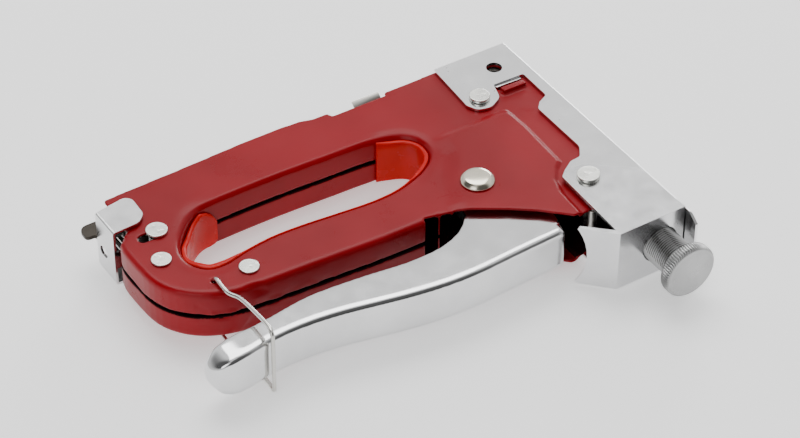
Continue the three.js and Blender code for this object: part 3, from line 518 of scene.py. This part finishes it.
def voxelled(node, name, voxel):
    """A fine even mesh of a CAD node's solid."""
    src = frame["nodes"][node]
    me = src.data.copy()
    ob = link(bpy.data.objects.new(name, me))
    bm = bmesh.new()
    bm.from_mesh(me)
    bmesh.ops.remove_doubles(bm, verts=bm.verts, dist=2e-6)
    bm.to_mesh(me)
    bm.free()
    mod = ob.modifiers.new("even", "REMESH")
    mod.mode = "VOXEL"
    mod.voxel_size = voxel * MM
    mod.adaptivity = 0.0
    apply_mods(ob)
    return ob


def coords(ob):
    co = np.zeros(len(ob.data.vertices) * 3, np.float32)
    ob.data.vertices.foreach_get("co", co)
    co = co.reshape(-1, 3).astype(float)
    return np.stack([co[:, 0] / MM - OFF[0], OFF[1] - co[:, 1] / MM, co[:, 2] / MM - OFF[2]], 1)


def set_coords(ob, uvz):
    co = np.stack([(uvz[:, 0] + OFF[0]) * MM, (OFF[1] - uvz[:, 1]) * MM, (uvz[:, 2] + OFF[2]) * MM], 1)
    ob.data.vertices.foreach_set("co", co.astype(np.float32).ravel())
    ob.data.update()


def relax(ob, q, steps, weight=None, amount=0.5):
    e = np.zeros(len(ob.data.edges) * 2, np.int64)
    ob.data.edges.foreach_get("vertices", e)
    e = e.reshape(-1, 2)
    n = len(q)
    deg = np.bincount(e.ravel(), minlength=n).astype(float)[:, None]
    w = amount if weight is None else (amount * weight)[:, None]
    for _ in range(steps):
        s = np.zeros_like(q)
        for k in range(3):
            s[:, k] = np.bincount(e[:, 0], q[e[:, 1], k], n) + np.bincount(e[:, 1], q[e[:, 0], k], n)
        q = q + (s / np.maximum(deg, 1) - q) * w
    return q


def field(q, scale, seed):
    """Smooth random field, about -1 to 1, from a few waves."""
    rng = np.random.default_rng(seed)
    total = np.zeros(len(q))
    for _ in range(10):
        k = rng.normal(size=3)
        k *= rng.uniform(0.6, 1.5) * 2 * math.pi / scale / np.linalg.norm(k)
        total += np.sin(q @ k + rng.uniform(0, 2 * math.pi))
    return total / 4.5


def seg_distance(u, v, pts, closed=False):
    best = np.full(len(u), 1e9)
    n = len(pts)
    for i in range(n if closed else n - 1):
        (x0, y0), (x1, y1) = pts[i], pts[(i + 1) % n]
        dx, dy = x1 - x0, y1 - y0
        t = np.clip(((u - x0) * dx + (v - y0) * dy) / (dx * dx + dy * dy + 1e-12), 0, 1)
        best = np.minimum(best, np.hypot(u - x0 - t * dx, v - y0 - t * dy))
    return best


def inside(u, v, pts):
    c = np.zeros(len(u), bool)
    n = len(pts)
    for i in range(n):
        (x0, y0), (x1, y1) = pts[i], pts[(i + 1) % n]
        if y0 == y1:
            continue
        hit = ((y0 > v) != (y1 > v)) & (u < (x1 - x0) * (v - y0) / (y1 - y0) + x0)
        c ^= hit
    return c


def smoothstep(x):
    x = np.clip(x, 0, 1)
    return x * x * (3 - 2 * x)


def decimated(ob, faces):
    now = len(ob.data.polygons) * 2
    if now > faces:
        mod = ob.modifiers.new("thin", "DECIMATE")
        mod.ratio = faces / now
        apply_mods(ob)


SLOT = catmull([(-140, 19.4), (-115, 19.2), (-92, 20.0), (-74, 20.8), (-65.5, 22.6), (-60.8, 25.4), (-58.2, 29.6), (-58.0, 34.6),
    (-59.6, 38.6), (-63.2, 42.0), (-71, 46.4), (-78.8, 49.2), (-89.6, 50.2), (-106, 49.0), (-120, 47.7), (-132.3, 47.4), (-146.5, 49.2),
    (-153, 50.2), (-158.6, 49.6), (-162.2, 46.2), (-163.6, 41.5), (-163.2, 36.6), (-160.8, 31.4), (-156.3, 26.0), (-151.5, 21.8), (-146.5, 19.8)], 240, True)
PANEL = [(-55.2, 30.8), (-20.4, 31.2), (-19.8, 45), (-21.0, 69.2), (-24.6, 72.0), (-28.4, 77.0), (-30.6, 84), (-31.8, 101), (-40, 101),
    (-72.4, 78), (-71.6, 67), (-63.4, 51.2), (-57.0, 42.0)]
OUTLINE = [(-178, 3), (-2, 3), (-2, 20), (-15, 24), (-15, 70), (-28, 78), (-28, 100), (-45, 96), (-72, 78), (-80, 62), (-120, 60), (-150, 60), (-168, 52), (-177, 38)]
PANEL_RIGHT = PANEL[1:8]
PANEL_TOP = PANEL[0:2]
PANEL_LEFT = PANEL[9:] + PANEL[:1]


# ------------------------------------------------------------------------------ shells
def make_shell(node, name, seed):
    ob = voxelled(node, name, 0.40)
    q = coords(ob)
    side = 1.0 if node == "shell_right" else -1.0
    u, v, z = q[:, 0], q[:, 1], q[:, 2] * side
    face = z > 8.6
    ins = inside(u, v, PANEL)
    dr, dt, dl = (seg_distance(u, v, g) for g in (PANEL_RIGHT, PANEL_TOP, PANEL_LEFT))
    old = 1.2 * np.clip(np.minimum(np.minimum(dr, dt), dl) / 1.5, 0, 1) * ins
    new = 1.2 * smoothstep(dr / 2.0) * smoothstep(dt / 4.0) * smoothstep(dl / 8.0) * ins
    nz = np.zeros(len(ob.data.vertices) * 3, np.float32)
    ob.data.vertices.foreach_get("normal", nz)
    nz = nz.reshape(-1, 3)[:, 2] * side
    near = ins | (seg_distance(u, v, PANEL, True) < 1.2)
    outer = near & (z > 10.2) & (nz > 0.2)
    z = np.where(outer, 10.5 + new, np.where(face, z + new - old, z))
    # the face dips softly towards the ends of the finger slot
    ds = seg_distance(u, v, SLOT, True)
    ends = smoothstep((-140 - u) / 14) + smoothstep((u + 76) / 10)
    z = z - np.where(z > 8.2, 1.0 * np.clip(1 - ds / 5.5, 0, 1) ** 2 * ends, 0)
    q[:, 2] = z * side
    q = relax(ob, q, 4)
    # pressed sheet is never quite flat; the seam edge is the least even
    rear = smoothstep((-118 - q[:, 0]) / 30)
    seam = np.clip(1 - np.abs(np.abs(q[:, 2]) - 0.9) / 3.2, 0, 1)
    wave = field(q, 34, seed) * 0.05
    edge = field(q, 7.5, seed + 1) * 0.30 * seam * (0.35 + rear)
    dents = np.clip(field(q, 11, seed + 2) - 0.45, 0, 1) * 0.60 * rear * np.clip((q[:, 1] - 52) / 8, 0, 1)
    q[:, 2] += side * (wave * (np.abs(q[:, 2]) > 8) - 0.0)
    q[:, 1] -= (edge * 0.8 + dents) * smoothstep((q[:, 1] - 50) / 8)
    q[:, 2] += side * np.minimum(edge, 0.1) * 0.6
    set_coords(ob, q)
    decimated(ob, 150000)
    finish_mesh(ob, 60)
    place(ob, "red_paint", "body", node)
    # the inside of the sheet is painted near-black as painted shade: everything that faces inwards, below the fold
    ob.data.materials.append(MATS["painted_inside_shade"])
    m = len(ob.data.polygons)
    c, nn, idx = np.zeros(m * 3, np.float32), np.zeros(m * 3, np.float32), np.zeros(m, np.int32)
    ob.data.polygons.foreach_get("center", c)
    ob.data.polygons.foreach_get("normal", nn)
    c, nn = c.reshape(-1, 3).astype(float), nn.reshape(-1, 3).astype(float)
    fu, fv, fz = c[:, 0] / MM - OFF[0], OFF[1] - c[:, 1] / MM, (c[:, 2] / MM - OFF[2]) * side
    step = 2.2
    pu, pv, pz = fu + nn[:, 0] * step, fv - nn[:, 1] * step, fz + nn[:, 2] * side * step
    under = (nn[:, 2] * side < -0.35) & (fz < 10.4)
    hollow = (pz < 8.6) & ~inside(pu, pv, [tuple(x) for x in SLOT]) & (fz < 9.6) & inside(pu, pv, OUTLINE)
    idx[:] = (under | hollow).astype(np.int32)
    ob.data.polygons.foreach_set("material_index", idx)
    return ob


# ------------------------------------------------------------------------ finger liner
def make_liner():
    pts = SLOT
    n = len(pts)
    area = 0.5 * sum(pts[i][0] * pts[(i + 1) % n][1] - pts[(i + 1) % n][0] * pts[i][1] for i in range(n))
    turn = 1 if area > 0 else -1
    keep = [i for i in range(n) if not (pts[i][1] < 30 and -139.1 < pts[i][0] < -72.4)]
    start = next(i for i in keep if (i - 1) % n not in keep)
    order = []
    i = start
    while i in keep and len(order) <= len(keep):
        order.append(i)
        i = (i + 1) % n
    verts, faces = [], []
    for i in order:
        a, b = pts[(i - 1) % n], pts[(i + 1) % n]
        t = (b - a) / np.linalg.norm(b - a)
        nrm = np.array([-t[1], t[0]]) * turn  # inwards
        u, v = pts[i]
        rear = float(smoothstep(np.array([(-141 - u) / 16]))[0])
        low = float(smoothstep(np.array([(v - 37) / 10]))[0])
        nose = float(smoothstep(np.array([(u + 74) / 8]))[0])
        thick = 1.0 + 1.7 * rear * low + 0.9 * rear * (1 - low) + 0.8 * nose
        zt, zb = 9.6 - 2.3 * rear * (1 - low) - 0.4 * rear * low - 0.9 * nose, -9.4
        zt -= 2.0 * rear * (1 - low) * float(smoothstep(np.array([(34 - v) / 8]))[0])
        if u > -147 and v < 26 and u < -120:
            zt = min(zt, float(np.interp(u, [-147, -144, -141.6, -139.9, -139.1], [7.9, 7.0, 5.0, 2.0, -1.4])))
            zb = max(zb, float(np.interp(u, [-143, -141, -139.4, -139.1], [-9.4, -8.9, -6.0, -2.4])))
        mid = (zt + zb) / 2
        rr = min(0.9, (zt - zb) / 2 * 0.8, thick * 0.7)
        ring = [(0.3, zb), (0.3, mid), (0.3, zt - 0.25), (0.55, zt), (0.3 + thick - rr, zt - 0.05)]
        for k in range(1, 5):
            w = k / 4 * math.pi / 2
            ring.append((0.3 + thick - rr + rr * math.sin(w), zt - 0.05 - rr + rr * math.cos(w)))
        # the wall bellies in a little at the ends
        belly = 0.55 * (rear + nose)
        for k in range(1, 8):
            w = k / 8
            zz = (zt - rr) * (1 - w) + (zb + rr) * w
            ring.append((0.3 + thick - belly * math.sin(math.pi * w) * 0.8, zz))
        for k in range(4, 0, -1):
            w = k / 4 * math.pi / 2
            ring.append((0.3 + thick - rr + rr * math.sin(w), zb + rr - rr * math.cos(w)))
        for d, zz in ring:
            p = np.array([u, v]) + nrm * d
            verts.append(P(p[0], p[1], zz))
    m = len(ring)
    for i in range(len(order) - 1):
        for k in range(m):
            a, b = i * m + k, i * m + (k + 1) % m
            faces.append((a, b, b + m, a + m))
    faces.append(tuple(range(m)))
    faces.append(tuple(range((len(order) - 1) * m, len(order) * m)))
    ob = new_piece("liner", verts, faces, 60)
    return place(ob, "liner_plastic", "body", "finger_liner")


# ------------------------------------------------------------------------------- lever
def make_lever():
    ob = voxelled("lever", "lever_pressing", 0.38)
    q = coords(ob)
    q = relax(ob, q, 5)
    tail = smoothstep((-166 - q[:, 0]) / 9)
    ridge = smoothstep((q[:, 1] - 84) / 6) * smoothstep((-46 - q[:, 0]) / 6)
    q = relax(ob, q, 46, tail)
    q = relax(ob, q, 8, ridge)
    q[:, 1] += field(q, 40, 7) * 0.06
    set_coords(ob, q)
    decimated(ob, 110000)
    finish_mesh(ob, 60)
    return place(ob, "lever_chrome", "lever_assembly", "lever")


# --------------------------------------------------------------- screw with its thread
def make_screw():
    ax, z0 = -10.4, 0.0
    pitch, rc, rr = 0.95, 7.1, 6.5
    steps, per = 72, 8
    verts, faces = [], []
    lo, hi = 99.0, 129.6
    rows = int((hi - lo) / pitch * per)
    for i in range(rows + 1):
        v = lo + (hi - lo) * i / rows
        for k in range(steps):
            a = 2 * math.pi * k / steps
            ph = ((v / pitch) - k / steps) % 1.0
            h = max(0.0, 1 - abs(ph - 0.5) / 0.46)
            fade = min(1.0, (v - lo) / 1.2)
            r = rr + (rc - rr) * min(1.0, h * 1.15) * fade - 0.8 * (1 - fade)
            verts.append(P(ax + r * math.cos(a), v, z0 + r * math.sin(a)))
        if i:
            for k in range(steps):
                a, b = (i - 1) * steps + k, (i - 1) * steps + (k + 1) % steps
                faces.append((a, b, b + steps, a + steps))
    faces.append(tuple(range(steps)))
    faces.append(tuple(range(rows * steps, (rows + 1) * steps)))
    shank = new_piece("screw_thread", verts, faces, 50)
    place(shank, "screw_satin", "screw", "tension_screw")
    shank.data.materials[0] = MATS["screw_thread"]
    # the root of the thread is given the near-black dark_steel: painted shade in the groove
    shank.data.materials.append(MATS["dark_steel"])
    for f in shank.data.polygons:
        if len(f.vertices) == 4:
            c = f.center
            a = math.atan2(c.z / MM - OFF[2] - z0, c.x / MM - OFF[0] - ax) / (2 * math.pi)
            ph = ((OFF[1] - c.y / MM) / pitch - a) % 1.0
            if abs(ph - 0.5) > 0.33:
                f.material_index = 1
    teeth, R = 66, 10.7
    n = teeth * 6

    def tooth(depth, radius):
        def f(a):
            p = (a * teeth / (2 * math.pi)) % 1.0
            return radius - depth * (0.5 + 0.5 * math.cos(2 * math.pi * p)) ** 1.6
        return f

    v0, v1 = 129.3, 134.3
    rings = [(0.0, v0 + 0.5), (6.0, v0 + 0.5), (7.4, v0 + 0.25), (8.2, v0), (R - 1.3, v0), (tooth(0.10, R - 0.75), v0 + 0.08), (tooth(0.35, R - 0.3), v0 + 0.45), (tooth(0.5, R), v0 + 0.95),
        (tooth(0.5, R), (v0 + v1) / 2), (tooth(0.5, R), v1 - 0.95), (tooth(0.35, R - 0.28), v1 - 0.5), (tooth(0.08, R - 0.62), v1 - 0.16), (R - 1.0, v1), (R - 1.35, v1 - 0.03), (R - 1.75, v1 - 0.16), (R - 2.6, v1 - 0.22), (5.5, v1 - 0.30), (2.0, v1 - 0.34), (0.0, v1 - 0.34)]
    knob = lathe("screw_knob", rings, n, axis="v", at=(ax, z0), sharp=38)
    place(knob, "screw_satin", "screw", "tension_screw")
    return knob


# ------------------------------------------------------------------------------ rivets
RIVETS = {"nose_rivet_lower": (-26.4, 22.3, 4.0, 1.5, 1.8, 11.85), "nose_rivet_upper": (-19.9, 83.4, 4.3, 1.6, 1.7, 13.15),
    "rear_rivet_lower": (-165.8, 23.2, 4.0, 1.1, 1.6, 10.5), "rear_rivet_middle": (-171.9, 37.7, 3.7, 0.8, 1.6, 10.5), "rear_rivet_upper": (-147.7, 57.5, 3.7, 0.8, 1.6, 10.5)}


def make_rivets():
    for j, (node, (u, v, hr, hh, sr, z)) in enumerate(RIVETS.items()):
        b = z + 0.15
        t = b + hh
        rng = random.Random(j + 3)
        pits = [(rng.uniform(0, hr * 0.75), rng.uniform(0, 6.28), rng.uniform(0.25, 0.6), rng.uniform(0.03, 0.08)) for _ in range(7)]

        def dint(r, a, h, pits=pits, t=t):
            if abs(h) < t - 0.45:
                return 0.0
            d = 0.0
            for pr, pa, w, depth in pits:
                x, y = r * math.cos(a) - pr * math.cos(pa), r * math.sin(a) - pr * math.sin(pa)
                d += depth * math.exp(-(x * x + y * y) / (w * w))
            return -d if h > 0 else d

        half = [(sr, b), (hr - 0.30, b), (hr - 0.06, b + 0.08), (hr, b + 0.20), (hr - 0.02, t - 0.20), (hr - 0.10, t - 0.08), (hr - 0.24, t - 0.02), (hr - 0.42, t - 0.03)]
        half += [(hr * k, t - 0.05 + 0.03 * (1 - k * k)) for k in (0.80, 0.66, 0.5, 0.36, 0.24, 0.12)]
        up = half + [(0.0, t - 0.02)]
        rings = [(0.0, 0.02 - t)] + [(r, -h) for r, h in reversed(half)] + up
        ob = lathe(node + "_head", rings, 56, at=(u, v), wobble=dint, sharp=45)
        place(ob, "rivet_zinc", "body", node)
    u, v, b, hr, sr = -54.2, 62.2, 11.88, 6.5, 4.0
    t = b + 2.4
    half = [(sr, b), (hr - 0.3, b), (hr - 0.05, b + 0.1), (hr, b + 0.3), (hr - 0.10, b + 0.62), (hr - 0.5, b + 1.1), (hr - 1.05, b + 1.62), (hr - 1.4, b + 1.9), (hr - 1.8, b + 2.08),
        (4.0, t - 0.20), (3.1, t - 0.11), (2.1, t - 0.05), (1.0, t - 0.01)]
    rings = [(0.0, -t)] + [(r, -h) for r, h in reversed(half)] + half + [(0.0, t)]

    def press(r, a, h):
        return (-1 if h > 0 else 1) * 0.16 * math.exp(-((r * math.cos(a) - 1.4) ** 2 + (r * math.sin(a) + 1.8) ** 2) / 1.1) if abs(h) > b + 1 else 0.0

    ob = lathe("pivot_dome", rings, 72, at=(u, v), wobble=press, sharp=50)
    place(ob, "pivot_nickel", "body", "lever_pivot_rivet")


# ----------------------------------------------------------------------- wires, springs
def make_wires():
    bu, bv, z1, zt = -161.3, 57.0, 11.75, 14.0
    top = [(bu, bv, 7.6), (bu, bv, 9.6), (bu, bv, z1 - 0.9), (bu + 0.05, bv + 0.9, z1 + 0.05), (bu - 0.2, bv + 5.0, z1 + 0.35), (bu - 0.2, bv + 9.2, 12.1), (bu + 0.4, bv + 11.4, 12.3),
        (bu + 1.3, bv + 13.4, 12.5), (bu + 1.8, bv + 16.2, 12.75), (bu + 2.1, bv + 24.0, 13.4), (bu + 2.0, bv + 34.0, zt), (bu + 1.5, bv + 36.3, zt - 0.35), (bu + 1.45, bv + 37.1, zt - 1.3), (bu + 1.45, bv + 37.2, 9)]
    path = top + [(bu + 1.45, bv + 37.2, 0)] + [(a, b, -c) for a, b, c in reversed(top)]
    place(tube("bail", catmull(path, 220), 0.78, 14), "bail_steel", "bail", "bail_wire")

    def coil(r, turns, closed, n):
        pts = []
        for i in range(n + 1):
            t = i / n
            c = closed / turns

            def e(x):
                return 0.25 * x if x < c else (0.25 * c + (1 - 2 * c) + 0.25 * (x - 1 + c) if x > 1 - c else 0.25 * c + (x - c))
            a = 2 * math.pi * turns * t
            pts.append((r * math.cos(a), r * math.sin(a), e(t) / e(1)))
        return pts

    lo, hi = 66.0 + 0.3 + 0.85, 94.6 - 0.3 - 0.85
    ob = tube("main_coil", [(-10.4 + x, lo + (hi - lo) * h, y) for x, y, h in coil(5.9, 8, 1, 420)], 0.84, 10)
    place(ob, "spring_steel", "body", "main_spring")
    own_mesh(ob)
    ob = tube("pusher_coil", [(-172.0 + (-64.9 + 172.0) * h, 6.0 + x, y) for x, y, h in coil(2.1, 21, 1.5, 620)], 0.29, 6)
    place(ob, "spring_steel", "magazine", "pusher_spring")
    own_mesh(ob)
    pts = [(-61.2, 90.0, 3.4), (-60.4, 74.0, 3.4)]
    for k in range(35):
        t = math.pi + k / 34 * 3 * 2 * math.pi
        pts.append((-54.2 + 5.9 * math.cos(t), 62.2 + 5.9 * math.sin(t), 3.5 + 3.1 * k / 34))
    pts += [(-60.2, 54.0, 6.7), (-60.0, 45.6, 6.7)]
    place(tube("lever_coil", catmull(pts, 260), 0.45, 8), "spring_steel", "body", "lever_return_spring")


make_camera()
make_world()
MATS = make_materials()

make_shell("shell_right", "shell_upper", 11)
make_shell("shell_left", "shell_under", 23)
make_liner()
make_lever()
make_screw()
make_rivets()
make_wires()

LOOK = {
    "nose_cover": ("nose_chrome", 0.22, 3), "head_bracket": ("bracket_chrome", 0.45, 4), "magazine_latch": ("latch_chrome", 0.22, 3),
    "pull_tab": ("dark_steel", 0.22, 3), "magazine_channel": ("inner_zinc", 0.12, 2), "stop_pin": ("inner_zinc", 0.15, 2),
    "hammer": ("inner_steel", 0.3, 2), "driver_blade": ("inner_steel", 0.12, 2), "spring_seat": ("inner_steel", 0.15, 2),
    "screw_block": ("inner_steel", 0.3, 2), "lifting_claw": ("inner_steel", 0.25, 2), "claw_pin": ("inner_zinc", 0.2, 2),
    "driver_guide": ("inner_zinc", 0.12, 2), "hammer_bumper": ("bumper_rubber", 0.5, 3), "bumper_carrier": ("inner_zinc", 0.2, 2),
    "magazine_tray": ("inner_steel", 0.15, 2), "staple_rail": ("inner_zinc", 0.12, 2),
    "staple_pusher": ("inner_steel", 0.2, 2), "guide_rod": ("inner_steel", 0.12, 2), "rear_spacer_lower": ("inner_steel", 0.15, 2),
    "rear_spacer_middle": ("inner_steel", 0.15, 2), "rear_spacer_upper": ("inner_steel", 0.15, 2),
}
for node, (sl, w, seg) in LOOK.items():
    solid_copy(node, node + "_look", sl, width=w, segments=seg, horn=(-39.6, 104.4, 0.7263, -0.6874) if node == "head_bracket" else None)
# the channel's leaf tab lies close to the sheet
leaf = bpy.data.objects["magazine_channel_look"]
q = coords(leaf)
out = (q[:, 1] < 0.15) & (q[:, 2] > 8.0) & (q[:, 0] > -68.3) & (q[:, 0] < -55.9)
q[out, 1] = 0.2 + (q[out, 1] - 0.2) * 0.50
q[out, 2] = 8.2 + (q[out, 2] - 8.2) * 0.62
set_coords(leaf, q)


# staples glued in a strip: each wire shows
def make_staples():
    n = 0
    verts, faces = [], []
    u = -53.6
    prof = [(-5.7, 3.4), (-5.0, 3.4), (-5.0, 11.7), (5.0, 11.7), (5.0, 3.4), (5.7, 3.4), (5.7, 11.9), (5.3, 12.3), (-5.3, 12.3), (-5.7, 11.9)]
    m = len(prof)
    step = 0.7
    rings = []
    while u < -3.4 - step:
        for du, k in ((0.0, 0.94), (0.12, 1.0), (0.56, 1.0), (0.66, 0.94)):
            rings.append((u + du, k))
        u += step
    for uu, k in rings:
        for z, v in prof:
            out = abs(z) > 5.2 or v > 12.0
            verts.append(P(uu, v if not out or v < 12 else v - (1 - k) * 1.5, z * (1 - (1 - k) * 0.25) if out else z))
    for i in range(len(rings) - 1):
        for k in range(m):
            a, b = i * m + k, i * m + (k + 1) % m
            faces.append((a, b, b + m, a + m))
    faces.append(tuple(range(m)))
    faces.append(tuple(range((len(rings) - 1) * m, len(rings) * m)))
    place(new_piece("staples", verts, faces, 30), "staple_wire", "magazine", "staple_strip")


make_staples()


def rounded_plate(name, corners, z0, z1, slot, node_body, radius=0.25, tilt=0.0, more=None):
    """A small pressed plate: corners are (u, v), its edges are rolled over, and tilt lifts its low-v edge."""
    bm = bmesh.new()
    lo_v = min(c[1] for c in corners)
    ring = []
    for z in (z0, z1):
        ring.append([bm.verts.new(P(u, v, z + tilt * (v - lo_v))) for u, v in corners])
    bm.faces.new(ring[0])
    bm.faces.new(ring[1])
    n = len(corners)
    for i in range(n):
        bm.faces.new((ring[0][i], ring[0][(i + 1) % n], ring[1][(i + 1) % n], ring[1][i]))
    bmesh.ops.recalc_face_normals(bm, faces=bm.faces)
    bmesh.ops.bevel(bm, geom=list(bm.edges), offset=radius * MM, segments=3, profile=0.6, affect="EDGES", clamp_overlap=True)
    me = bpy.data.meshes.new(name)
    bm.to_mesh(me)
    bm.free()
    ob = link(bpy.data.objects.new(name, me))
    finish_mesh(ob, 50)
    return place(ob, slot, node_body)


rounded_plate("louvre_bar", [(-16.5, 21.6), (-6.8, 22.0), (-6.5, 24.6), (-16.3, 24.4)], 10.0, 12.4, "red_paint", "body", 0.40, 0.05)
rounded_plate("cover_hem", [(-16.9, 18.3), (-5.6, 18.7), (-5.6, 20.0), (-16.7, 19.6)], 10.62, 11.15, "nose_chrome", "body", 0.16)

# floor and light
floor = link(bpy.data.objects.new("floor", bpy.data.meshes.new("floor")))
bm = bmesh.new()
bmesh.ops.create_grid(bm, x_segments=2, y_segments=2, size=3.0)
bm.to_mesh(floor.data)
bm.free()
floor.location = (0, 0, CAD_LO.z - 0.0002)
fm = Nodes("floor")
fm.b.inputs["Specular IOR Level"].default_value = 0.2
fm.b.inputs["Emission Color"].default_value = (1, 1, 1, 1)
fm.b.inputs["Emission Strength"].default_value = 0.60
floor.data.materials.append(fm.set(Base_Color=fm.ramp(fm.noise(3, 2), [(0.3, 0.88), (0.7, 0.90)]), Roughness=0.6))

area_light("key", (0.25, 0.55, 1.25), (0, 0, 0), (1.1, 0.8), 12)
area_light("rim", (1.0, 0.85, 0.38), (0, 0, 0), (0.5, 0.3), 5)
area_light("fill", (-0.9, -0.5, 0.8), (0, 0, 0), (0.7, 0.7), 3)
